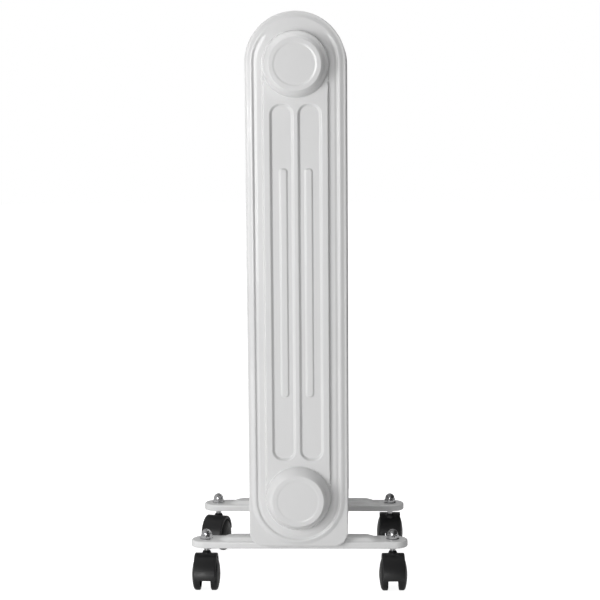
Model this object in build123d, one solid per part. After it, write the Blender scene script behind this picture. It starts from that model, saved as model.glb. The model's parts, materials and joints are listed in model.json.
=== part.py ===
"""Oil filled radiator heater on four twin-wheel casters.

Millimetres. +Z is up, X runs along the foot bars and Y along the fin stack. The plain end fin faces -Y and
the control housing faces +Y. The origin is on the floor, under the middle of the heater.
"""
from build123d import *
import math
import os

# ---- fin stack
FIN_COUNT = 6
FIN_PITCH = 41.5
FIN_HALF_WIDTH = 54.0
FIN_BOTTOM_Z = 53.0
FIN_CORNER_R = 16.0
LOWER_HUB_Z = 106.0
UPPER_HUB_Z = 580.0
SHEET = 1.0
FIRST_FIN_Y = -141.0

# ---- pressed form of a fin half: radius from the hub line, height above the weld plane
RIM_R = 51.5
BEAD_OUTER_R = 48.0
BEAD_INNER_R = 46.4
BEAD_H = 6.0
GROOVE_R = 44.0
GROOVE_H = 3.6
LEDGE_OUTER_R = 40.5
LEDGE_INNER_R = 37.0
LEDGE_H = 4.6
PLATFORM_R = 33.5
PLATFORM_H = 7.5
CHANNEL_INNER_X = 1.8
CHANNEL_OUTER_X = 28.2
CHANNEL_LOW_Z = 149.0
CHANNEL_HIGH_Z = 537.0
CHANNEL_FLOOR_H = 4.5
CHANNEL_FLANK = 3.4
CHANNEL_CORNER_R = 9.0
RIB_X = 13.6
RIB_WIDTH = 11.5
RIB_LOW_Z = 219.0
RIB_HIGH_Z = 468.0
RIB_RISE = 1.2

# ---- hubs
HUB_H = FIN_PITCH / 2
HUB_BASE_R = 36.0
HUB_NECK_R = 30.0
HUB_NECK_H = 11.5
HUB_OPENING_R = 20.0
CLOSED_HUB_H = 19.5
CLOSED_FACE_R = 29.0
CLOSED_RING_R = 22.6
ELEMENT_OPENING_R = 16.0

# ---- foot bars and what holds them
BAR_LENGTH = 240.0
BAR_WIDTH = 30.0
BAR_LOW_Z = 49.0
BAR_TOP_Z = 55.8
BAR_SHEET = 1.2
PAD_LENGTH = 181.0
PAD_WIDTH = 24.6
PAD_TOP_LENGTH = 150.0
PAD_TOP_WIDTH = 14.8
PAD_RISE = 2.8
CASTER_X = 103.5
U_BOLT_R = 3.0
SADDLE_HALF_LENGTH = 26.0
SADDLE_WIDTH = 14.0
SADDLE_WALL = 2.5

# ---- casters
STEM_R = 3.0
STEM_LOW_Z = 25.0
STEM_TOP_Z = 63.5
NUT_HEIGHT = 11.4
WHEEL_R = 18.0
WHEEL_BORE_R = 2.56
WHEEL_INNER_X = 5.6
WHEEL_TREAD_X = 11.8
WHEEL_OUTER_X = 15.6
AXLE_R = 2.5
AXLE_HALF_LENGTH = 13.0
TRAIL = 8.0
HOOD_HALF_WIDTH = 12.0
HOOD_R = 23.0
HOOD_INNER_R = 19.4
HOOD_FRONT_Z = 17.0
HOOD_BACK_Z = 22.0
WEB_HALF_WIDTH = 4.9
WEB_LOW_Z = 12.4
COLLAR_LOW_Z = 39.0
COLLAR_TOP_Z = 44.6
STEM_BORE_R = 3.06
CASTER_TURN = {"front_left": -1.0, "front_right": 2.0, "rear_left": -14.0, "rear_right": 180.0}

# ---- control housing
HOUSING_HALF_WIDTH = 51.5
HOUSING_BOTTOM_Z = 76.0
HOUSING_ARC_Z = 572.0
HOUSING_CORNER_R = 14.0
HOUSING_DEPTH = 54.0
HOUSING_WALL = 2.2
HOUSING_EDGE_R = 9.0
PLATE_GAP = 23.0
PLATE_SHEET = 1.2
PANEL_HALF_WIDTH = 36.0
PANEL_LOW_Z = 452.0
PANEL_THICKNESS = 2.0
PANEL_RECESS = 1.2
KNOB_Z = 572.0
KNOB_R = 24.0
KNOB_DEPTH = 15.0
KNOB_REST = 135.0
SHAFT_R = 3.0
SHAFT_BORE_R = 3.05
ROCKER_X = 15.0
ROCKER_Z = 503.0
ROCKER_REST = 9.0
LAMP_Z = 532.0
GLAND_Z = 106.0
GLAND_BORE_R = 4.0
LOUVRE_LENGTH = 56.0
LOUVRE_HEIGHT = 4.0
LOUVRE_PITCH = 10.0
LOUVRE_ROWS = ((142.0, 9), (336.0, 8))
SCREW_X = 38.0
SCREW_ZS = (98.0, 300.0, 436.0)
SCREW_SEAT_DEPTH = 9.0
SCREW_R = 2.0
PENDULUM_X = -24.0
PENDULUM_Z = 262.0
PENDULUM_DEPTH = 16.0
LEAD_R = 1.2
LEAD_BEND_R = 7.0

# ---- heating element and studs on the last hubs
ELEMENT_TUBE_R = 4.0
ELEMENT_LEG = 8.0
ELEMENT_FLANGE_R = 20.8
ELEMENT_FLANGE_T = 5.0
ELEMENT_COLD_END = 7.0
PIN_R = 1.6
STUD_X = 25.2
STUD_R = 2.0

# ---- places that follow from the sizes above
LAST_FIN_Y = FIRST_FIN_Y + (FIN_COUNT - 1) * FIN_PITCH
FRONT_BAR_Y = FIRST_FIN_Y + FIN_PITCH / 2
REAR_BAR_Y = LAST_FIN_Y - FIN_PITCH / 2
BAR_YS = (FRONT_BAR_Y, REAR_BAR_Y)
PLATE_Y = LAST_FIN_Y + PLATE_GAP
COVER_Y = PLATE_Y + PLATE_SHEET
COVER_BACK_Y = COVER_Y + HOUSING_DEPTH
COVER_INSIDE_Y = COVER_BACK_Y - HOUSING_WALL
PANEL_Y = COVER_BACK_Y - PANEL_RECESS
PANEL_FACE_Y = PANEL_Y + PANEL_THICKNESS
ROCKER_PIVOT_Y = PANEL_FACE_Y + 0.4
SCREW_SEAT_Y = COVER_Y + SCREW_SEAT_DEPTH
TILT_Y = COVER_Y + PENDULUM_DEPTH
HUB_FACE_Y = LAST_FIN_Y + HUB_H
U_BOLT_LEG_X = HUB_NECK_R + U_BOLT_R
STUD_PLACES = ((0, UPPER_HUB_Z), (-STUD_X, LOWER_HUB_Z), (STUD_X, LOWER_HUB_Z))
CASTER_SPOTS = {
    "front_left": (-CASTER_X, FRONT_BAR_Y),
    "front_right": (CASTER_X, FRONT_BAR_Y),
    "rear_left": (-CASTER_X, REAR_BAR_Y),
    "rear_right": (CASTER_X, REAR_BAR_Y),
}


# ---- helpers
def block(x_range, y_range, z_range):
    """A box between three pairs of coordinates."""
    size = [high - low for low, high in (x_range, y_range, z_range)]
    middle = [(high + low) / 2 for low, high in (x_range, y_range, z_range)]
    return Pos(*middle) * Box(*size)


def rod(x, y_from, y_to, z, radius):
    """A cylinder along +Y."""
    return Pos(x, (y_from + y_to) / 2, z) * Rot(90, 0, 0) * Cylinder(radius, abs(y_to - y_from))


def post(x, y, z_from, z_to, radius):
    """A cylinder along +Z."""
    return Pos(x, y, (z_from + z_to) / 2) * Cylinder(radius, z_to - z_from)


def turned(points):
    """A solid of revolution about Y, from (radius, height) points."""
    return revolve(make_face(Polyline(*points, close=True)), Axis.Y, 360)


def arch(half_width, bottom_z, arc_z, corner_r):
    """The upright outline with a half-round top, on the XZ plane."""
    body = Pos(0, (bottom_z + arc_z) / 2) * Rectangle(2 * half_width, arc_z - bottom_z)
    body = fillet(body.vertices().group_by(Axis.Y)[0], corner_r)
    return Plane.XZ * (body + Pos(0, arc_z) * Circle(half_width))


def along_y(face, y_from, y_to):
    """Extrude a face that lies on the XZ plane between two Y values."""
    return Pos(0, y_from, 0) * extrude(face, -(y_to - y_from))


def inset(points, distance):
    """The open line of points moved down by distance, with mitred corners."""
    moved = []
    for i, (r, h) in enumerate(points):
        before = points[max(i - 1, 0)]
        after = points[min(i + 1, len(points) - 1)]
        normals = []
        for (r0, h0), (r1, h1) in ((before, (r, h)), ((r, h), after)):
            length = math.hypot(r1 - r0, h1 - h0)
            if length > 0:
                normals.append(((h1 - h0) / length, (r0 - r1) / length))
        nr = sum(n[0] for n in normals) / len(normals)
        nh = sum(n[1] for n in normals) / len(normals)
        scale = distance / (nr * nr + nh * nh)
        moved.append((r - nr * scale, h - nh * scale))
    return moved


# ---- fins
PRESSED_LINE = [
    (FIN_HALF_WIDTH, SHEET),
    (RIM_R, SHEET),
    (BEAD_OUTER_R, BEAD_H),
    (BEAD_INNER_R, BEAD_H),
    (GROOVE_R, GROOVE_H),
    (LEDGE_OUTER_R, LEDGE_H),
    (LEDGE_INNER_R, LEDGE_H),
    (PLATFORM_R, PLATFORM_H),
    (0, PLATFORM_H),
]


def racetrack(line, base_h):
    """The solid under a pressed line, run round both hubs."""
    rim_r = line[1][0]
    half = [(0, base_h), (rim_r, base_h)] + line[1:]
    mirrored = [(-r, h) for r, h in reversed(half[1:-1])]
    straight = make_face(Polyline(*(half[1:-1] + mirrored), close=True))
    body = Pos(0, 0, LOWER_HUB_Z) * extrude(straight, UPPER_HUB_Z - LOWER_HUB_Z)
    end = turned(half)
    return body + Pos(0, 0, LOWER_HUB_Z) * end + Pos(0, 0, UPPER_HUB_Z) * end


def tapered_patch(x, width, low_z, high_z, corner_r, h_from, h_to, spread):
    """A rounded rectangle lofted between two heights; it is wider by spread all round at h_to."""
    middle_z = (low_z + high_z) / 2
    faces = []
    for h, grow in ((h_from, 0.0), (h_to, spread)):
        outline = RectangleRounded(width + 2 * grow, high_z - low_z + 2 * grow, corner_r + grow)
        faces.append(Pos(x, h, middle_z) * (Plane.XZ * outline))
    return loft(faces)


def channel(side, drop):
    """What one channel takes out of the platform; drop lowers it by the sheet's thickness."""
    rise = PLATFORM_H - CHANNEL_FLOOR_H
    grow = drop * math.tan(math.atan2(rise, CHANNEL_FLANK) / 2)
    width = CHANNEL_OUTER_X - CHANNEL_INNER_X - 2 * CHANNEL_FLANK + 2 * grow
    x = side * (CHANNEL_OUTER_X + CHANNEL_INNER_X) / 2
    low_z = CHANNEL_LOW_Z + CHANNEL_FLANK - grow
    high_z = CHANNEL_HIGH_Z - CHANNEL_FLANK + grow
    return tapered_patch(x, width, low_z, high_z, CHANNEL_CORNER_R - CHANNEL_FLANK, CHANNEL_FLOOR_H - drop,
                         PLATFORM_H - drop, CHANNEL_FLANK)


def rib(side, drop):
    """The shallow raised rib on a channel's floor."""
    flank = 1.4
    return tapered_patch(side * RIB_X, RIB_WIDTH - 2 * flank, RIB_LOW_Z + flank, RIB_HIGH_Z - flank, 3.0,
                         CHANNEL_FLOOR_H + RIB_RISE - drop, CHANNEL_FLOOR_H - drop - 0.4, flank)


def open_hub(drop):
    """An open hub, which meets the next fin's hub face to face."""
    line = [(HUB_BASE_R, LEDGE_H), (HUB_NECK_R, HUB_NECK_H), (HUB_NECK_R, HUB_H), (0, HUB_H)]
    return hub_solid(line, drop)


def closed_hub(drop):
    """A closed hub with a rounded shoulder and a shallow dished face."""
    line = [
        (HUB_BASE_R, LEDGE_H),
        (CLOSED_FACE_R + 3.2, CLOSED_HUB_H - 4.0),
        (CLOSED_FACE_R + 2.0, CLOSED_HUB_H - 1.4),
        (CLOSED_FACE_R, CLOSED_HUB_H),
        (CLOSED_RING_R + 1.0, CLOSED_HUB_H),
        (CLOSED_RING_R, CLOSED_HUB_H - 0.7),
        (0, CLOSED_HUB_H - 0.7),
    ]
    return hub_solid(line, drop)


def hub_solid(line, drop):
    """Fill a hub's line down to its base, lowered by drop."""
    line = inset(line, drop) if drop else line
    base_h = LEDGE_H - 1.2
    return turned([(0, base_h), (line[0][0], base_h)] + line)


def pressed_form(lower_hub, upper_hub, drop):
    """Everything that stands above the weld plane on one half of a fin, lowered by drop."""
    line = inset(PRESSED_LINE, drop) if drop else PRESSED_LINE
    form = racetrack(line, -drop if drop else 0.0)
    for side in (-1, 1):
        form -= channel(side, drop)
        form += rib(side, drop)
    form += Pos(0, 0, LOWER_HUB_Z) * lower_hub(drop)
    form += Pos(0, 0, UPPER_HUB_Z) * upper_hub(drop)
    return form


def fin_half(lower_hub, upper_hub, lower_opening_r, upper_opening_r):
    """One pressed half of a fin, standing up along +Y from the weld plane at y = 0."""
    half = along_y(arch(FIN_HALF_WIDTH, FIN_BOTTOM_Z, UPPER_HUB_Z, FIN_CORNER_R), 0, SHEET)
    half += pressed_form(lower_hub, upper_hub, 0.0)
    half -= pressed_form(lower_hub, upper_hub, SHEET)
    for hub_z, opening_r in ((LOWER_HUB_Z, lower_opening_r), (UPPER_HUB_Z, upper_opening_r)):
        if opening_r:
            half -= rod(0, 0, HUB_H + 1, hub_z, opening_r)
    return half


def fins():
    """The twelve fin halves."""
    inner = fin_half(open_hub, open_hub, HUB_OPENING_R, HUB_OPENING_R)
    outer = fin_half(closed_hub, closed_hub, 0, 0)
    element_end = fin_half(open_hub, closed_hub, ELEMENT_OPENING_R, 0)
    nodes = {}
    for i in range(FIN_COUNT):
        y = FIRST_FIN_Y + i * FIN_PITCH
        front = outer if i == 0 else inner
        rear = element_end if i == FIN_COUNT - 1 else inner
        nodes[f"fin_{i + 1}_front_shell"] = Pos(0, y, 0) * mirror(front, Plane.XZ)
        nodes[f"fin_{i + 1}_rear_shell"] = Pos(0, y, 0) * rear
    return nodes


# ---- feet
def pad_form(bar_y, drop):
    """The pad's form with sloping flanks and ramped ends, lowered by drop."""
    overlap = 0.6
    faces = []
    for h in (-overlap, PAD_RISE):
        length = PAD_LENGTH + (PAD_TOP_LENGTH - PAD_LENGTH) * h / PAD_RISE
        width = PAD_WIDTH + (PAD_TOP_WIDTH - PAD_WIDTH) * h / PAD_RISE
        outline = RectangleRounded(length, width, 0.45 * width)
        faces.append(Pos(0, bar_y, BAR_TOP_Z - drop + h) * outline)
    return loft(faces)


def foot_bar(bar_y):
    """A pressed tray, open below, with a raised pad and holes for the stems and the U-bolt."""
    tray = Pos(0, bar_y, BAR_LOW_Z) * extrude(SlotOverall(BAR_LENGTH, BAR_WIDTH), BAR_TOP_Z - BAR_LOW_Z)
    tray = fillet(tray.faces().sort_by(Axis.Z)[-1].edges(), 1.8)
    inside = SlotOverall(BAR_LENGTH - 2 * BAR_SHEET, BAR_WIDTH - 2 * BAR_SHEET)
    hollow = Pos(0, bar_y, BAR_LOW_Z - 1) * extrude(inside, BAR_TOP_Z - BAR_LOW_Z + 1 - BAR_SHEET)
    bar = tray + pad_form(bar_y, 0) - hollow - pad_form(bar_y, BAR_SHEET)
    for x in (-CASTER_X, CASTER_X):
        bar -= post(x, bar_y, BAR_LOW_Z, BAR_TOP_Z + 1, STEM_R)
    for x in (-U_BOLT_LEG_X, U_BOLT_LEG_X):
        bar -= post(x, bar_y, BAR_LOW_Z, BAR_TOP_Z + PAD_RISE + 1, U_BOLT_R)
    return bar


def u_bolt(bar_y):
    """A round U-bolt over the lower hub neck, down through the foot bar."""
    section = Pos(U_BOLT_LEG_X, 0) * Circle(U_BOLT_R)
    bend = revolve(section, Axis.Y, 180)
    bend = bend if bend.center().Z > 0 else Rot(0, 180, 0) * bend
    bolt = Pos(0, bar_y, LOWER_HUB_Z) * bend
    for x in (-U_BOLT_LEG_X, U_BOLT_LEG_X):
        bolt += post(x, bar_y, BAR_LOW_Z + 0.8, LOWER_HUB_Z, U_BOLT_R)
    return bolt


def saddle(bar_y):
    """A hollow bracket that carries the hub neck on the foot bar's pad."""
    low_z = BAR_TOP_Z + PAD_RISE
    height = LOWER_HUB_Z - low_z - 8
    outline = Pos(0, low_z + height / 2) * Rectangle(2 * SADDLE_HALF_LENGTH, height)
    outline -= Pos(0, LOWER_HUB_Z) * Circle(HUB_NECK_R)
    window = offset(outline, -SADDLE_WALL)
    rib_strip = Pos(0, low_z + height / 2) * Rectangle(SADDLE_WALL, height)
    body = outline - (window - rib_strip)
    half = SADDLE_WIDTH / 2
    return along_y(Plane.XZ * body, bar_y - half, bar_y + half)


def hex_nut(x, y, low_z, high_z, across_flats, bore_r):
    """A plain hexagon nut on an upright axis."""
    flats = RegularPolygon(across_flats / 2, 6, major_radius=False)
    return Pos(x, y, low_z) * extrude(flats - Circle(bore_r), high_z - low_z)


def u_bolt_nuts():
    """A washer and a nut under each U-bolt leg, inside the tray."""
    under_pad = BAR_TOP_Z + PAD_RISE - BAR_SHEET
    solids = []
    for bar_y in BAR_YS:
        for x in (-U_BOLT_LEG_X, U_BOLT_LEG_X):
            solids.append(Pos(x, bar_y, under_pad - 1.2) * extrude(Circle(6.0) - Circle(U_BOLT_R), 1.2))
            solids.append(hex_nut(x, bar_y, under_pad - 6.2, under_pad - 1.2, 10, U_BOLT_R))
    return Compound(children=solids)


def acorn_nuts():
    """The domed, flanged nuts on top of the foot bars."""
    flange_h, flats_h, dome_r = 1.1, 5.0, 5.1
    solids = []
    for x, y in CASTER_SPOTS.values():
        ball_z = BAR_TOP_Z + NUT_HEIGHT - dome_r
        nut = post(x, y, BAR_TOP_Z, BAR_TOP_Z + flange_h, 6.7)
        nut += hex_nut(x, y, BAR_TOP_Z + flange_h, BAR_TOP_Z + flats_h, 10.4, 0.5)
        nut += post(x, y, BAR_TOP_Z + flats_h - 1, ball_z, dome_r) + Pos(x, y, ball_z) * Sphere(dome_r)
        nut -= post(x, y, BAR_TOP_Z - 1, STEM_TOP_Z, STEM_R)
        solids.append(nut)
    return Compound(children=solids)


def caster_stems():
    """The swivel stems, each clamped through its foot bar by a collar below and the domed nut above."""
    solids = []
    for x, y in CASTER_SPOTS.values():
        stem = post(x, y, STEM_LOW_Z, STEM_TOP_Z, STEM_R)
        stem += hex_nut(x, y, BAR_TOP_Z - BAR_SHEET - 3.0, BAR_TOP_Z - BAR_SHEET, 10, 1.0)
        solids.append(stem)
    return Compound(children=solids)


# ---- casters, each built with its stem on the Z axis and its axle along X
def tread_disc(x_from, x_to, radius):
    """A disc about the axle between two X values."""
    return Pos((x_from + x_to) / 2, -TRAIL, WHEEL_R) * Rot(0, 90, 0) * Cylinder(radius, x_to - x_from)


def hood():
    """The caster's moulded hood: two mudguards, a web between the wheels and a collar for the stem."""
    full = tread_disc(-HOOD_HALF_WIDTH, HOOD_HALF_WIDTH, HOOD_R)
    full -= block((-20, 20), (-40, -TRAIL), (-10, HOOD_FRONT_Z))
    full -= block((-20, 20), (-TRAIL, 40), (-10, WEB_LOW_Z))
    full -= block((-20, 20), (3.6, 40), (-10, HOOD_BACK_Z))
    for side in (-1, 1):
        edges = sorted((side * WEB_HALF_WIDTH, side * (HOOD_HALF_WIDTH + 1)))
        full -= tread_disc(edges[0], edges[1], HOOD_INNER_R)
    full += Pos(0, 0, (COLLAR_LOW_Z + COLLAR_TOP_Z) / 2) * Cone(5.3, 3.7, COLLAR_TOP_Z - COLLAR_LOW_Z)
    full -= post(0, 0, STEM_LOW_Z - 0.5, COLLAR_TOP_Z + 1, STEM_BORE_R)
    return full - tread_disc(-HOOD_HALF_WIDTH, HOOD_HALF_WIDTH, AXLE_R)


def axle():
    """The steel axle, tight in the hood's web."""
    return tread_disc(-AXLE_HALF_LENGTH, AXLE_HALF_LENGTH, AXLE_R)


def wheel(side):
    """One moulded wheel with a domed outer face and a hollow back round its hub."""
    dome = [
        (WHEEL_R - 0.8, WHEEL_TREAD_X + 0.5),
        (WHEEL_R - 3.4, 13.6),
        (WHEEL_R - 8.0, 14.8),
        (5.0, WHEEL_OUTER_X - 0.1),
        (0.0, WHEEL_OUTER_X),
    ]
    section = [
        (0.0, AXLE_HALF_LENGTH + 0.4),
        (WHEEL_BORE_R, AXLE_HALF_LENGTH + 0.4),
        (WHEEL_BORE_R, WHEEL_INNER_X),
        (5.5, WHEEL_INNER_X),
        (5.5, 11.6),
        (WHEEL_R - 3.0, 10.4),
        (WHEEL_R - 3.0, WHEEL_INNER_X + 0.4),
        (WHEEL_R - 0.8, WHEEL_INNER_X + 0.4),
        (WHEEL_R, WHEEL_INNER_X + 1.2),
        (WHEEL_R, WHEEL_TREAD_X - 0.6),
    ] + dome
    turned_wheel = Rot(0, 0, -90) * turned(section)
    if side < 0:
        turned_wheel = mirror(turned_wheel, Plane.YZ)
    return Pos(0, -TRAIL, WHEEL_R) * turned_wheel


def casters():
    """Hood, axle and two wheels for each caster, turned as the heater stands."""
    nodes = {}
    for corner, (x, y) in CASTER_SPOTS.items():
        place = Pos(x, y, 0) * Rot(0, 0, CASTER_TURN[corner])
        outside = 1 if x > 0 else -1
        nodes[f"hood_{corner}"] = place * hood()
        nodes[f"axle_{corner}"] = place * axle()
        nodes[f"wheel_{corner}_outer"] = place * wheel(outside)
        nodes[f"wheel_{corner}_inner"] = place * wheel(-outside)
    return nodes


# ---- heating element and what stands on the last hub
def element_flange():
    """The disc that closes the lower collector and carries the element's legs."""
    flange = rod(0, HUB_FACE_Y, HUB_FACE_Y + ELEMENT_FLANGE_T, LOWER_HUB_Z, ELEMENT_FLANGE_R)
    for x in (-ELEMENT_LEG, ELEMENT_LEG):
        for dz in (-ELEMENT_LEG, ELEMENT_LEG):
            flange -= rod(x, HUB_FACE_Y - 1, HUB_FACE_Y + 9, LOWER_HUB_Z + dz, ELEMENT_TUBE_R)
    return flange


def heating_element():
    """Two hairpin tubes in the lower collector, with a ceramic bead and a terminal pin on each leg."""
    bend_y = FIRST_FIN_Y + 2
    end_y = HUB_FACE_Y + ELEMENT_FLANGE_T + ELEMENT_COLD_END
    solids = []
    for x in (-ELEMENT_LEG, ELEMENT_LEG):
        section = Plane.XZ * (Pos(0, ELEMENT_LEG) * Circle(ELEMENT_TUBE_R))
        bend = revolve(section, Axis.X, 180)
        bend = bend if bend.center().Y < 0 else Rot(0, 0, 180) * bend
        hairpin = Pos(x, bend_y, LOWER_HUB_Z) * bend
        for dz in (-ELEMENT_LEG, ELEMENT_LEG):
            hairpin += rod(x, bend_y, end_y, LOWER_HUB_Z + dz, ELEMENT_TUBE_R)
        solids.append(hairpin)
        for dz in (-ELEMENT_LEG, ELEMENT_LEG):
            z = LOWER_HUB_Z + dz
            solids.append(rod(x, end_y, end_y + 3, z, 3.2) + rod(x, end_y + 3, end_y + 11, z, PIN_R))
    return Compound(children=solids)


def housing_studs():
    """Shouldered studs welded to the last fin's hubs; the back plate hangs on them."""
    closed_face_y = LAST_FIN_Y + CLOSED_HUB_H - 0.7
    solids = []
    for x, z in STUD_PLACES:
        from_y, shoulder_r = (closed_face_y, 8.0) if z == UPPER_HUB_Z else (HUB_FACE_Y, 3.2)
        solids.append(rod(x, from_y, PLATE_Y, z, shoulder_r) + rod(x, PLATE_Y, COVER_Y + 5.5, z, STUD_R))
    return Compound(children=solids)


def stud_nuts():
    """The nuts that hold the back plate on its studs."""
    flats = RegularPolygon(3.5, 6, major_radius=False) - Circle(STUD_R)
    return Compound(children=[Pos(x, 0, z) * along_y(Plane.XZ * flats, COVER_Y, COVER_Y + 3.2)
                              for x, z in STUD_PLACES])


# ---- control housing
def housing_outline(shrink=0.0):
    """The housing's upright outline, drawn in by shrink."""
    return arch(HOUSING_HALF_WIDTH - shrink, HOUSING_BOTTOM_Z + shrink, HOUSING_ARC_Z,
                HOUSING_CORNER_R - shrink)


def panel_outline(shrink=0.0):
    """The control panel's outline, concentric with the housing's round top."""
    return arch(PANEL_HALF_WIDTH - shrink, PANEL_LOW_Z + shrink, HOUSING_ARC_Z, 10.0 - shrink)


def screw_places():
    """Where the housing screws sit, as (x, z)."""
    return [(side * SCREW_X, z) for z in SCREW_ZS for side in (-1, 1)]


def rocker_window(y_from, y_to, x, clearance):
    """The rectangular hole that a rocker switch's body fills."""
    half_x = 6.5 + clearance
    half_z = 10.5 + clearance
    return block((x - half_x, x + half_x), (y_from, y_to), (ROCKER_Z - half_z, ROCKER_Z + half_z))


def panel_cuts(y_from, y_to):
    """The holes for the thermostat's neck, the lamp and the two rocker switches."""
    cuts = rod(0, y_from, y_to, KNOB_Z, 5.0) + rod(0, y_from, y_to, LAMP_Z, 4.0)
    for x in (-ROCKER_X, ROCKER_X):
        cuts += rocker_window(y_from, y_to, x, 0.0)
    return cuts


def control_housing():
    """The moulded cover: rounded edges, louvres, a recess for the panel and six screw posts."""
    cover = along_y(housing_outline(), COVER_Y, COVER_BACK_Y)
    cover = fillet(cover.faces().sort_by(Axis.Y)[-1].edges(), HOUSING_EDGE_R)
    cavity = along_y(housing_outline(HOUSING_WALL), COVER_Y - 1, COVER_INSIDE_Y)
    cavity = fillet(cavity.faces().sort_by(Axis.Y)[-1].edges(), HOUSING_EDGE_R - HOUSING_WALL)
    cover -= cavity
    for x, z in screw_places():
        cover += rod(x, COVER_Y, COVER_INSIDE_Y + 1, z, 6.2)
    for x, z in screw_places():
        cover -= rod(x, SCREW_SEAT_Y, COVER_BACK_Y + 1, z, 4.2)
        cover -= rod(x, COVER_Y - 1, SCREW_SEAT_Y, z, SCREW_R)
    cover -= along_y(panel_outline(), PANEL_Y, COVER_BACK_Y + 1)
    cover -= panel_cuts(COVER_INSIDE_Y - 2, COVER_BACK_Y)
    cover -= rod(0, COVER_INSIDE_Y - 1, COVER_BACK_Y + 1, GLAND_Z, 6.5)
    louvre = RectangleRounded(LOUVRE_LENGTH, LOUVRE_HEIGHT, 1.9)
    for low_z, count in LOUVRE_ROWS:
        for i in range(count):
            opening = Plane.XZ * (Pos(0, low_z + LOUVRE_PITCH * i) * louvre)
            cover -= along_y(opening, COVER_INSIDE_Y - 1, COVER_BACK_Y + 1)
    return cover


def control_back_plate():
    """The flat steel plate between the last fin and the cover."""
    plate = along_y(housing_outline(), PLATE_Y, COVER_Y)
    plate -= rod(0, PLATE_Y - 1, COVER_Y + 1, LOWER_HUB_Z, ELEMENT_FLANGE_R + 0.6)
    for x, z in screw_places():
        plate -= rod(x, PLATE_Y - 1, COVER_Y + 1, z, SCREW_R)
    for x, z in STUD_PLACES:
        plate -= rod(x, PLATE_Y - 1, COVER_Y + 1, z, STUD_R)
    return plate


def housing_screws():
    """Pan-head screws at the bottom of the cover's deep screw holes."""
    solids = []
    for x, z in screw_places():
        screw = rod(x, PLATE_Y - 2, SCREW_SEAT_Y, z, SCREW_R)
        screw += rod(x, SCREW_SEAT_Y, SCREW_SEAT_Y + 2.6, z, 3.9)
        cross = Box(4.4, 2.4, 1.0) + Box(1.0, 2.4, 4.4)
        screw -= Pos(x, SCREW_SEAT_Y + 2.6, z) * cross
        solids.append(screw)
    return Compound(children=solids)


def control_panel():
    """The dark panel that sits in the cover's recess."""
    panel = along_y(panel_outline(0.3), PANEL_Y, PANEL_FACE_Y)
    panel = chamfer(panel.faces().sort_by(Axis.Y)[-1].edges(), 0.5)
    return panel - panel_cuts(PANEL_Y - 1, PANEL_FACE_Y + 1)


def thermostat_body():
    """The thermostat's case, with the threaded neck that passes through the cover and the panel."""
    case = block((-17, 17), (COVER_INSIDE_Y - 24, COVER_INSIDE_Y), (KNOB_Z - 15, KNOB_Z + 15))
    case = fillet(case.edges().filter_by(Axis.Y), 3)
    neck = rod(0, COVER_INSIDE_Y - 1, PANEL_FACE_Y + 4.4, KNOB_Z, 5.0)
    blades = block((-12, -8), (COVER_INSIDE_Y - 32, COVER_INSIDE_Y - 24), (KNOB_Z - 0.4, KNOB_Z + 0.4))
    blades += block((8, 12), (COVER_INSIDE_Y - 32, COVER_INSIDE_Y - 24), (KNOB_Z - 0.4, KNOB_Z + 0.4))
    body = case + neck + blades
    return body - rod(0, COVER_INSIDE_Y - 14, PANEL_FACE_Y + 6, KNOB_Z, SHAFT_BORE_R)


def thermostat_nut():
    """The flat nut that clamps the thermostat to the panel."""
    flats = RegularPolygon(7.0, 6, major_radius=False) - Circle(5.0)
    return Pos(0, 0, KNOB_Z) * along_y(Plane.XZ * flats, PANEL_FACE_Y, PANEL_FACE_Y + 2.6)


def thermostat_shaft():
    """The shaft between the thermostat and its knob."""
    return rod(0, COVER_INSIDE_Y - 13, PANEL_FACE_Y + 12, KNOB_Z, SHAFT_R)


def knob():
    """The thermostat's knob: a skirted cap with a grip bar, hollow over the nut."""
    low_y = PANEL_FACE_Y + 0.6
    high_y = PANEL_FACE_Y + KNOB_DEPTH
    skirt = turned([(0, 0), (KNOB_R, 0), (KNOB_R - 0.4, 2.4), (KNOB_R - 4.5, 4.6), (0, 4.6)])
    skirt = Pos(0, low_y, KNOB_Z) * skirt
    grip = block((-5, 5), (low_y + 3, high_y), (KNOB_Z - 19.5, KNOB_Z + 19.5))
    grip = fillet(grip.edges().filter_by(Axis.Y), 4.6)
    grip = fillet(grip.faces().sort_by(Axis.Y)[-1].edges(), 1.6)
    core = rod(0, low_y, low_y + 8.4, KNOB_Z, 13.0)
    body = skirt + grip + core
    body -= rod(0, low_y - 1, low_y + 5.2, KNOB_Z, 10.0)
    mark = block((-0.7, 0.7), (high_y - 0.6, high_y + 1), (KNOB_Z + 8, KNOB_Z + 17))
    body -= mark + rod(0, low_y, PANEL_FACE_Y + 12, KNOB_Z, SHAFT_R)
    return Pos(0, 0, KNOB_Z) * Rot(0, KNOB_REST, 0) * Pos(0, 0, -KNOB_Z) * body


def switch_body(x):
    """A rocker switch's body: bezel, well for the rocker, and blades behind."""
    bezel = block((x - 8, x + 8), (PANEL_FACE_Y, PANEL_FACE_Y + 1.6), (ROCKER_Z - 12, ROCKER_Z + 12))
    bezel = fillet(bezel.edges().filter_by(Axis.Y), 1.5)
    case = rocker_window(COVER_INSIDE_Y - 16, PANEL_FACE_Y, x, 0.0)
    well = block((x - 5.4, x + 5.4), (PANEL_FACE_Y - 7, PANEL_FACE_Y + 3), (ROCKER_Z - 9.7, ROCKER_Z + 9.7))
    body = bezel + case - well
    body -= Pos(x, ROCKER_PIVOT_Y, ROCKER_Z) * Rot(0, 90, 0) * Cylinder(1.26, 12.2)
    for dz in (-5.5, 5.5):
        body += block((x - 3, x + 3), (COVER_INSIDE_Y - 24, COVER_INSIDE_Y - 16),
                      (ROCKER_Z + dz - 0.4, ROCKER_Z + dz + 0.4))
    return body


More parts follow.
